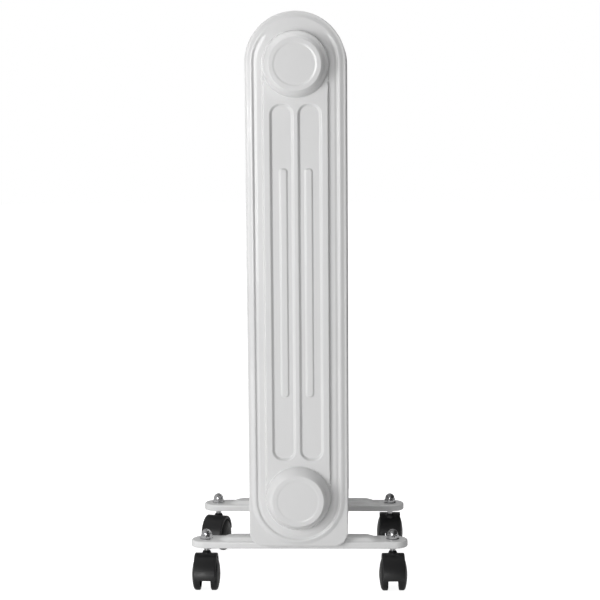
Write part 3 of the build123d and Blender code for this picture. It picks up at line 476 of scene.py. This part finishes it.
def fin_mesh(name, side, lower_closed, upper_closed):
    """One pressed half as a closed sheet. side is -1 for a front half and 1 for a rear half."""
    plan, faces = fin_plan(lower_closed, upper_closed)
    x, z = plan[:, 0], plan[:, 1]
    h = fin_height(x, z, lower_closed, upper_closed)
    d = SLOPE_STEP
    slope_x, slope_z = ((fin_height(x + dx, z + dz, lower_closed, upper_closed)
                         - fin_height(x - dx, z - dz, lower_closed, upper_closed)) / (2 * d)
                        for dx, dz in ((d, 0), (0, d)))
    normal = np.stack([-slope_x, np.ones_like(h), -slope_z], axis=1)
    normal /= np.linalg.norm(normal, axis=1)[:, None]
    top = np.stack([x, h, z], axis=1)
    back = top - normal * BACK_DEPTH
    back[:, 1] = np.maximum(back[:, 1], 0.0)
    count = len(top)
    points = [tuple(p) for p in top] + [tuple(p) for p in back]
    normals = [tuple(n) for n in normal] + [tuple(-n) for n in normal]
    winding = [f if is_up(plan, f) else f[::-1] for f in faces]
    all_faces = [f[::-1] for f in winding] + [tuple(i + count for i in f) for f in winding]
    for loop in boundary_loops(winding):
        centre = plan[loop].mean(axis=0)
        hub_z = min((LOWER_HUB_Z, UPPER_HUB_Z), key=lambda value: abs(value - centre[1]))
        is_hub = math.hypot(*(plan[loop[0]] - (0, hub_z))) < OPEN_EDGE_R + 0.5
        rings = [loop]
        if is_hub:
            neck_foot = h[loop[0]] + NECK_RAMP
            profile = [(NECK_R, neck_foot), (NECK_R, HUB_H), (NECK_HOLE_R, HUB_H),
                       (NECK_HOLE_R, HUB_H - SHEET), (NECK_R - SHEET, HUB_H - SHEET),
                       (NECK_R - SHEET, neck_foot)]
            for radius, level in profile:
                ring = []
                for i in loop:
                    px, pz = plan[i] - (0, hub_z)
                    reach = math.hypot(px, pz)
                    ring.append(len(points))
                    points.append((px / reach * radius, level, hub_z + pz / reach * radius))
                    normals.append((px / reach, 0.0, pz / reach))
                rings.append(ring)
        rings.append([i + count for i in loop])
        for near, far in zip(rings, rings[1:]):
            for i in range(len(loop)):
                j = (i + 1) % len(loop)
                all_faces.append((near[i], near[j], far[j], far[i]))
    if side < 0:
        points = [(px, -py, pz) for px, py, pz in points]
        normals = [(nx, -ny, nz) for nx, ny, nz in normals]
        all_faces = [f[::-1] for f in all_faces]
    mesh = mesh_from(name, points, all_faces, 50)
    sheet_normals = [Vector(n) for n in normals]
    corner_normals = []
    for polygon in mesh.polygons:
        flat = any(i >= 2 * count for i in polygon.vertices) or len(polygon.vertices) > 3
        for i in polygon.vertices:
            corner_normals.append(polygon.normal.copy() if flat else sheet_normals[i])
    smooth_necks(mesh, corner_normals, 2 * count)
    mesh.normals_split_custom_set(corner_normals)
    return mesh


def is_up(plan, face):
    """True if a plan triangle winds counter-clockwise."""
    a, b, c = (plan[i] for i in face)
    return (b[0] - a[0]) * (c[1] - a[1]) - (b[1] - a[1]) * (c[0] - a[0]) > 0


def smooth_necks(mesh, corner_normals, first_ring_vertex):
    """Round shading for the neck walls: their corners point away from the neck's axis."""
    at = 0
    for polygon in mesh.polygons:
        upright = abs(polygon.normal.y) < 0.5 and len(polygon.vertices) == 4
        for i in polygon.vertices:
            co = mesh.vertices[i].co / MM
            hub_z = LOWER_HUB_Z if abs(co.z - LOWER_HUB_Z) < 60 else UPPER_HUB_Z
            radial = Vector((co.x, 0.0, co.z - hub_z))
            if upright and (any(v >= first_ring_vertex for v in polygon.vertices)) and radial.length > 1:
                outward = radial.normalized()
                corner_normals[at] = outward if polygon.normal.dot(outward) > 0 else -outward
            at += 1


def add_fins():
    """The twelve pressed halves."""
    kinds = {
        "outer": fin_mesh("pressing_outer", -1, True, True),
        "front": fin_mesh("pressing_front", -1, False, False),
        "rear": fin_mesh("pressing_rear", 1, False, False),
        "last": fin_mesh("pressing_last", 1, False, True),
    }
    for i in range(FIN_COUNT):
        place = Matrix.Translation((0, (FIRST_FIN_Y + i * FIN_PITCH) * MM, 0))
        front = kinds["outer" if i == 0 else "front"]
        rear = kinds["last" if i == FIN_COUNT - 1 else "rear"]
        add_piece(f"fin_{i + 1}_front_pressing", front, "root", "white_enamel",
                  [f"fin_{i + 1}_front_shell"], place)
        add_piece(f"fin_{i + 1}_rear_pressing", rear, "root", "white_enamel",
                  [f"fin_{i + 1}_rear_shell"], place)


add_fins()


# ---- solids made of rings
class Rings:
    """Closed forms lofted through rings of points; several may share one mesh."""

    def __init__(self):
        self.points = []
        self.faces = []

    def loft(self, rings, wrap=False):
        """Join equal rings; the ends are capped unless the form wraps round to its first ring."""
        start = len(self.points)
        count = len(rings[0])
        for ring in rings:
            self.points.extend(ring)
        spans = len(rings) if wrap else len(rings) - 1
        for k in range(spans):
            near, far = start + k * count, start + (k + 1) % len(rings) * count
            for i in range(count):
                j = (i + 1) % count
                self.faces.append((near + i, near + j, far + j, far + i))
        if not wrap:
            last = start + (len(rings) - 1) * count
            self.faces.append(tuple(range(start, start + count)))
            self.faces.append(tuple(range(last, last + count)))

    def lathe(self, profile, axis, centre=(0, 0, 0), segments=64, wrap=False):
        """Turn (radius, distance) points about the X or Z axis through centre."""
        rings = []
        for radius, along in profile:
            ring = []
            for a in np.linspace(0, 2 * math.pi, segments, endpoint=False):
                across, up = radius * math.cos(a), radius * math.sin(a)
                place = {"X": (along, across, up), "Z": (across, up, along)}[axis]
                ring.append(tuple(c + v for c, v in zip(centre, place)))
            rings.append(ring)
        self.loft(rings, wrap)

    def mesh(self, name, sharp_angle=35):
        """The finished mesh, with every face turned outwards."""
        mesh = mesh_from(name, self.points, self.faces)
        work = bmesh.new()
        work.from_mesh(mesh)
        bmesh.ops.recalc_face_normals(work, faces=work.faces)
        work.to_mesh(mesh)
        work.free()
        mesh.shade_smooth()
        mesh.set_sharp_from_angle(angle=math.radians(sharp_angle))
        return mesh


def oblong_ring(half_length, half_width, corner, z, y, steps=14):
    """A level ring: a rectangle with round corners, long along X."""
    ring = []
    for sx, sy, start in ((1, 1, 0), (-1, 1, 90), (-1, -1, 180), (1, -1, 270)):
        cx, cy = sx * (half_length - corner), y + sy * (half_width - corner)
        for a in np.radians(np.linspace(start, start + 90, steps + 1)):
            ring.append((cx + corner * math.cos(a), cy + corner * math.sin(a), z))
    return ring


# ---- foot bars
BAR_LOW, BAR_HIGH = box_mm("foot_bar_front")
BAR_HALF_LENGTH = (BAR_HIGH[0] - BAR_LOW[0]) / 2
BAR_HALF_WIDTH = (BAR_HIGH[1] - BAR_LOW[1]) / 2
BAR_SHEET = 1.2
BAR_TOP_Z = BAR_HIGH[2] - 2.8
BAR_FILLET = 1.8
SKIRT_DROP, SKIRT_WALL = 0.5, 1.3
PAD_RISE = 3.5
PAD_HALF_LENGTH, PAD_HALF_WIDTH = 90.5, 12.2
PAD_TOP_HALF_LENGTH, PAD_TOP_HALF_WIDTH = 79.0, 8.0


def pad_rings(y, drop, turned_up):
    """The pad's rings from its foot to its top, lowered by drop."""
    rings = []
    for t in (0.0, 0.07, 0.16, 0.3, 0.5, 0.7, 0.84, 0.93, 1.0):
        half_length = PAD_HALF_LENGTH + (PAD_TOP_HALF_LENGTH - PAD_HALF_LENGTH) * t
        half_width = PAD_HALF_WIDTH + (PAD_TOP_HALF_WIDTH - PAD_HALF_WIDTH) * t
        z = BAR_TOP_Z - drop + PAD_RISE * (0.5 * t + 0.5 * float(ease(t, 0.0, 1.0)))
        rings.append(oblong_ring(half_length, half_width, 0.9 * half_width, z, y))
    return rings if turned_up else rings[::-1]


def foot_bar_mesh(name, y):
    """A pressed tray with a rolled top edge and a raised pad, open below."""
    low_z = BAR_LOW[2] - SKIRT_DROP
    rings = pad_rings(y, BAR_SHEET, False)
    for shrink, z in ((BAR_FILLET + 0.4, BAR_TOP_Z - BAR_SHEET),
                      (SKIRT_WALL + 0.3, BAR_TOP_Z - BAR_SHEET - 0.35),
                      (SKIRT_WALL, BAR_TOP_Z - BAR_FILLET - 0.2), (SKIRT_WALL, low_z + 0.3),
                      (SKIRT_WALL - 0.3, low_z), (0.35, low_z), (0.0, low_z + 0.35), (0.0, low_z + 0.9)):
        half = BAR_HALF_WIDTH - shrink
        rings.append(oblong_ring(BAR_HALF_LENGTH - shrink, half, half, z, y))
    for a in np.radians((0, 18, 36, 54, 72, 90)):
        shrink = BAR_FILLET * (1 - math.cos(a))
        half = BAR_HALF_WIDTH - shrink
        z = BAR_TOP_Z - BAR_FILLET * (1 - math.sin(a))
        rings.append(oblong_ring(BAR_HALF_LENGTH - shrink, half, half, z, y))
    half = BAR_HALF_WIDTH - BAR_FILLET - 0.35
    rings.append(oblong_ring(BAR_HALF_LENGTH - BAR_FILLET - 0.35, half, half, BAR_TOP_Z, y))
    rings += pad_rings(y, 0.0, True)
    form = Rings()
    form.loft(rings)
    return form.mesh(name, 50)


for end, bar_y in BAR_YS.items():
    add_piece(f"foot_bar_{end}_pressing", foot_bar_mesh(f"foot_bar_{end}_pressing", bar_y), "root",
              "white_enamel", [f"foot_bar_{end}"])


# ---- domed nuts
NUT_FLATS_R = 5.8
NUT_FLATS_TOP = 5.2
NUT_DOME_R = 5.7
NUT_HEIGHT = box_mm("acorn_nuts")[1][2] - BAR_TOP_Z


def hexagon_r(angle):
    """The radius of the nut's hexagon at an angle."""
    sector = (angle + math.pi / 6) % (math.pi / 3) - math.pi / 6
    return NUT_FLATS_R / math.cos(sector)


def domed_nut_mesh():
    """A flanged hexagon with a chamfered top and a dome with a small tip, standing on z = 0."""
    angles = np.linspace(0, 2 * math.pi, 72, endpoint=False)
    rings = []

    def add_ring(radius_at, z_at):
        rings.append([(radius_at(a) * math.cos(a), radius_at(a) * math.sin(a), z_at(a)) for a in angles])

    for radius, z in ((3.0, 0.0), (6.9, 0.0), (7.3, 0.25), (7.35, 0.6), (7.1, 0.95), (6.85, 1.1)):
        add_ring(lambda a, r=radius: r, lambda a, h=z: h)
    add_ring(hexagon_r, lambda a: 1.25)
    add_ring(hexagon_r, lambda a: NUT_FLATS_TOP - 0.25 - 0.75 * (hexagon_r(a) - NUT_FLATS_R))
    add_ring(lambda a: NUT_FLATS_R - 0.08, lambda a: NUT_FLATS_TOP)
    ball_z = NUT_HEIGHT - NUT_DOME_R - 0.35
    add_ring(lambda a: NUT_DOME_R - 0.25, lambda a: NUT_FLATS_TOP + 0.12)
    for lift in np.radians((0, 12, 24, 36, 48, 60, 70, 78, 84)):
        add_ring(lambda a, t=lift: NUT_DOME_R * math.cos(t),
                 lambda a, t=lift: ball_z + NUT_DOME_R * math.sin(t))
    add_ring(lambda a: 0.42, lambda a: NUT_HEIGHT - 0.1)
    add_ring(lambda a: 0.2, lambda a: NUT_HEIGHT)
    form = Rings()
    form.loft(rings)
    return form.mesh("domed_nut", 40)


# ---- casters, made with the stem on the Z axis and the axle along X
TRAIL, AXLE_Z = 8.0, 18.0
HOOD_OUTER_R, HOOD_INNER_R = 23.3, 19.4
HOOD_HALF_WIDTH, HOOD_CROWN, HOOD_EDGE_R, HOOD_LIP = 11.9, 0.6, 1.1, 0.025
HOOD_FRONT_Z, HOOD_BACK_Z, HOOD_END_R = 16.0, 22.0, 23.0
WEB_OUTER_R, WEB_HALF_WIDTH, WEB_EDGE = 21.5, 4.9, 0.3
COLLAR_TOP_Z = 42.8


def hood_section(half_width, outer_r, inner_r, soft):
    """The mudguard's closed section as (x, radius), with rounded corners."""
    section = []
    for sx, r_edge, sr, start in ((1, outer_r, 1, 0), (-1, outer_r, 1, 90), (-1, inner_r, -1, 180),
                                  (1, inner_r, -1, 270)):
        corner = soft if sr > 0 else soft * 0.5
        for a in np.radians(np.linspace(start, start + 90, 6)):
            section.append((sx * (half_width - corner) + corner * math.cos(a),
                            r_edge - sr * corner + corner * math.sin(a)))
    return section


def hood_mesh():
    """Two mudguards in one arch, a web between the wheels and a conical collar."""
    form = Rings()
    first = math.asin((HOOD_FRONT_Z - AXLE_Z) / HOOD_END_R)
    last = math.pi - math.asin((HOOD_BACK_Z - AXLE_Z) / HOOD_END_R)
    lip = HOOD_LIP
    turns = [first, first + lip * 0.4, first + lip] + list(np.linspace(first + 0.08, last - 0.08, 44))
    turns += [last - lip, last - lip * 0.4, last]
    rings = []
    for turn in turns:
        edge = min(turn - first, last - turn) / lip
        draw_in = 0.5 * (1 - math.sqrt(max(0.0, 1 - (1 - min(edge, 1.0)) ** 2)))
        half_width = HOOD_HALF_WIDTH + HOOD_CROWN * max(math.sin(turn), 0.0) - draw_in
        section = hood_section(half_width, HOOD_OUTER_R - draw_in, HOOD_INNER_R + draw_in, HOOD_EDGE_R)
        rings.append([(x, -TRAIL - r * math.cos(turn), AXLE_Z + r * math.sin(turn)) for x, r in section])
    form.loft(rings)
    outline = [(-TRAIL - WEB_OUTER_R * math.cos(t), AXLE_Z + WEB_OUTER_R * math.sin(t))
               for t in np.linspace(first + 0.1, last - 0.08, 30)]
    outline += [(3.6, HOOD_BACK_Z), (3.6, 13.0), (3.0, 12.4), (-TRAIL, 12.4), (-TRAIL, 17.3)]
    form.loft([[(x, y + (0.25 if inset and y < -9 else 0), z) for y, z in outline]
               for x, inset in ((-WEB_HALF_WIDTH, True), (-WEB_HALF_WIDTH + WEB_EDGE, False),
                                (WEB_HALF_WIDTH - WEB_EDGE, False), (WEB_HALF_WIDTH, True))])
    top = COLLAR_TOP_Z
    collar = [(4.8, 34.0), (5.1, 39.6), (4.9, 40.5), (4.55, 41.3), (4.1, 42.0), (3.8, 42.4),
              (3.6, top - 0.2), (3.4, top), (3.12, top), (3.06, top - 0.3), (3.06, 34.0)]
    form.lathe(collar, "Z", wrap=True)
    return form.mesh("caster_hood", 40)


def wheel_mesh(side):
    """A wheel with a rounded tread, a domed face with a cap, and a hollow back."""
    profile = [(0.3, 13.4), (2.56, 13.4), (2.56, 5.75), (2.7, 5.6), (5.2, 5.6), (5.5, 5.9), (5.5, 11.5),
               (14.6, 10.5), (14.95, 6.4), (15.3, 6.0), (16.7, 6.0), (17.5, 6.25), (17.9, 6.8), (18.0, 7.4),
               (18.0, 10.6), (17.85, 11.4), (17.4, 12.15), (16.6, 12.85), (15.2, 13.5), (13.4, 14.0),
               (12.2, 14.28), (11.9, 14.15), (11.6, 14.42), (9.0, 14.85), (6.2, 15.22), (5.9, 15.05),
               (5.6, 15.3), (3.5, 15.52), (1.5, 15.6), (0.3, 15.6)]
    form = Rings()
    form.lathe([(r, side * x) for r, x in profile], "X", (0, -TRAIL, AXLE_Z), 96)
    return form.mesh("caster_wheel_" + ("right" if side > 0 else "left"), 32)


def add_casters():
    """Hood, wheels and domed nut for each corner, turned as the frame's joints say."""
    hood, nut = hood_mesh(), domed_nut_mesh()
    wheels = {side: wheel_mesh(side) for side in (-1, 1)}
    for corner in ("front_left", "front_right", "rear_left", "rear_right"):
        x, y, _ = joint_of(f"swivel_{corner}")["pos_m"]
        axis = joint_of(f"roll_{corner}_outer")["axis"]
        place = Matrix.Translation((x, y, 0)) @ Matrix.Rotation(math.atan2(axis[1], axis[0]), 4, "Z")
        add_piece(f"hood_{corner}_moulding", hood, f"caster_{corner}", "black_nylon",
                  [f"hood_{corner}"], place)
        outside = 1 if x > 0 else -1
        for which, side in (("outer", outside), ("inner", -outside)):
            add_piece(f"wheel_{corner}_{which}_moulding", wheels[side], f"wheel_{corner}_{which}",
                      "wheel_nylon", [f"wheel_{corner}_{which}"], place)
        spin = Matrix.Rotation(0.35 + 0.4 * outside + y, 4, "Z")
        add_piece(f"acorn_nut_{corner}", nut, "root", "chrome_plate", ["acorn_nuts"],
                  Matrix.Translation((x, y, BAR_TOP_Z * MM)) @ spin)


add_casters()


# ---- printed marks on the control end
PANEL_FACE_Y = box_mm("control_panel")[1][1]
KNOB_FACE_Y = box_mm("thermostat_knob")[1][1]
MARK_DEPTH = (-0.1, 0.12)
DIAL_TICKS, DIAL_SWEEP = 10, 270
TICK_WIDTH, TICK_START_R, TICK_LENGTH, TICK_GROWTH = 0.8, 26.6, 1.2, 0.28
DOT_WIDTH, DOT_PITCH, DOT_Z = 1.7, 3.6, 487.0
POINTER_WIDTH, POINTER_SPAN, POINTER_DEPTH = 1.2, (8.9, 16.0), (-0.62, -0.12)


def add_stroke(form, start, end, width, y_range):
    """A flat stroke with round ends between two (x, z) points."""
    along = Vector(end) - Vector(start)
    lean = math.degrees(math.atan2(along.y, along.x))
    outline = arc_points(*end, width / 2, lean - 90, lean + 90, 6)
    outline += arc_points(*start, width / 2, lean + 90, lean + 270, 6)
    form.loft([[(x, y, z) for x, z in outline] for y in y_range])


def add_marks():
    """Dial ticks that grow with the setting, dots under the switches and the knob's pointer."""
    centre_z = joint_of("knob_turn")["pos_m"][2] / MM
    printed = Rings()
    face = [PANEL_FACE_Y + depth for depth in MARK_DEPTH]
    for k in range(DIAL_TICKS):
        turn = math.radians(DIAL_SWEEP * (k / (DIAL_TICKS - 1) - 0.5))
        reach = TICK_START_R + TICK_LENGTH + TICK_GROWTH * k
        ends = [(-r * math.sin(turn), centre_z + r * math.cos(turn)) for r in (TICK_START_R, reach)]
        add_stroke(printed, *ends, TICK_WIDTH, face)
    for joint, dots in (("power_rocker_tilt", 1), ("heat_rocker_tilt", 2)):
        middle = joint_of(joint)["pos_m"][0] / MM
        for k in range(dots):
            x = middle + DOT_PITCH * (k - (dots - 1) / 2)
            add_stroke(printed, (x, DOT_Z), (x, DOT_Z + 0.02), DOT_WIDTH, face)
    add_piece("dial_marks", printed.mesh("dial_marks"), "root", "white_plastic")
    pointer = Rings()
    slant = math.sqrt(0.5)
    ends = [(r * slant, centre_z - r * slant) for r in POINTER_SPAN]
    add_stroke(pointer, *ends, POINTER_WIDTH, [KNOB_FACE_Y + depth for depth in POINTER_DEPTH])
    add_piece("knob_pointer", pointer.mesh("knob_pointer"), "knob", "white_plastic")


add_marks()


# ---- studio
CAMERA_PLACE = Vector((0.065, -1.9703, 0.5585))
CAMERA_YAW = 0.03374
CAMERA_PITCH = 0.12646
CAMERA_ROLL = -0.00758
CAMERA_LENS = 102.58
FLOOR_HALF = 6.0
FLOOR_GLOW, SEEN_FLOOR_GLOW = 0.1, 0.92
SKY_SPAN, SKY_STRENGTH = (-0.6, 0.55), (0.44, 0.04)


def add_camera():
    """The camera: level but for a slight roll, looking a little down and left."""
    data = bpy.data.cameras.new("camera")
    data.lens = CAMERA_LENS
    data.sensor_width = 36.0
    data.clip_start = 0.05
    camera = bpy.data.objects.new("camera", data)
    turn = (Matrix.Rotation(CAMERA_YAW, 4, "Z") @ Matrix.Rotation(math.pi / 2 - CAMERA_PITCH, 4, "X")
            @ Matrix.Rotation(CAMERA_ROLL, 4, "Z"))
    camera.matrix_world = Matrix.Translation(CAMERA_PLACE) @ turn
    bpy.context.scene.collection.objects.link(camera)
    bpy.context.scene.camera = camera


def add_area_light(name, place, aim, size, power, mirrored=True):
    """A soft rectangular light aimed at a point; not mirrored means that gloss doesn't show it."""
    data = bpy.data.lights.new(name, "AREA")
    data.shape = "RECTANGLE"
    data.size, data.size_y = size
    data.energy = power
    light = bpy.data.objects.new(name, data)
    direction = Vector(aim) - Vector(place)
    light.matrix_world = Matrix.Translation(place) @ direction.to_track_quat("-Z", "Y").to_matrix().to_4x4()
    light.visible_glossy = mirrored
    bpy.context.scene.collection.objects.link(light)


def add_floor():
    """A pale floor that glows a little, more so where the camera sees it."""
    half = FLOOR_HALF
    floor_mesh = bpy.data.meshes.new("floor")
    floor_mesh.from_pydata([(-half, -half, 0), (half, -half, 0), (half, half, 0), (-half, half, 0)], [],
                           [(0, 1, 2, 3)])
    floor = bpy.data.objects.new("floor", floor_mesh)
    bpy.context.scene.collection.objects.link(floor)
    g = Graph("floor_white")
    g.shader.inputs["Base Color"].default_value = (0.5, 0.5, 0.5, 1)
    g.shader.inputs["Roughness"].default_value = 0.9
    g.shader.inputs["Specular IOR Level"].default_value = 0.1
    g.shader.inputs["Emission Color"].default_value = (1, 1, 1, 1)
    seen_floor = g.add("ShaderNodeLightPath").outputs["Is Camera Ray"]
    glow = g.spread(seen_floor, FLOOR_GLOW, SEEN_FLOOR_GLOW, 0.0, 1.0)
    g.link(glow, g.shader.inputs["Emission Strength"])
    floor.data.materials.append(g.material)


def add_lights():
    """A near and a far soft light at the left, a small one for glints and a strip from above."""
    add_area_light("key_left", (-1.05, -1.15, 0.34), (0, -0.1, 0.3), (0.5, 0.6), 9.5, mirrored=False)
    add_area_light("front", (-0.95, -2.9, 0.42), (0, 0, 0.25), (1.4, 1.3), 26.5)
    add_area_light("spark", (-0.55, -0.75, 0.5), (0, -0.15, 0.25), (0.06, 0.06), 0.35)
    add_area_light("top", (0.15, 0.2, 2.1), (0, 0, 0), (2.0, 0.5), 25, mirrored=False)


def add_surround():
    """A white backdrop whose light fades from left to right."""
    world = bpy.data.worlds.new("surround")
    world.use_nodes = True
    tree = world.node_tree
    background = tree.nodes["Background"]
    background.inputs["Color"].default_value = (1, 1, 1, 1)
    direction = tree.nodes.new("ShaderNodeTexCoord")
    parts = tree.nodes.new("ShaderNodeSeparateXYZ")
    fade = tree.nodes.new("ShaderNodeMapRange")
    for socket, value in zip(("From Min", "From Max", "To Min", "To Max"), SKY_SPAN + SKY_STRENGTH):
        fade.inputs[socket].default_value = value
    tree.links.new(direction.outputs["Generated"], parts.inputs["Vector"])
    tree.links.new(parts.outputs["X"], fade.inputs["Value"])
    tree.links.new(fade.outputs["Result"], background.inputs["Strength"])
    seen = tree.nodes.new("ShaderNodeBackground")
    seen.inputs["Color"].default_value = (1, 1, 1, 1)
    path = tree.nodes.new("ShaderNodeLightPath")
    choose = tree.nodes.new("ShaderNodeMixShader")
    tree.links.new(path.outputs["Is Camera Ray"], choose.inputs["Fac"])
    tree.links.new(background.outputs["Background"], choose.inputs[1])
    tree.links.new(seen.outputs["Background"], choose.inputs[2])
    tree.links.new(choose.outputs["Shader"], tree.nodes["World Output"].inputs["Surface"])
    bpy.context.scene.world = world


add_camera()
add_floor()
add_lights()
add_surround()
bpy.context.scene.view_settings.view_transform = "Standard"
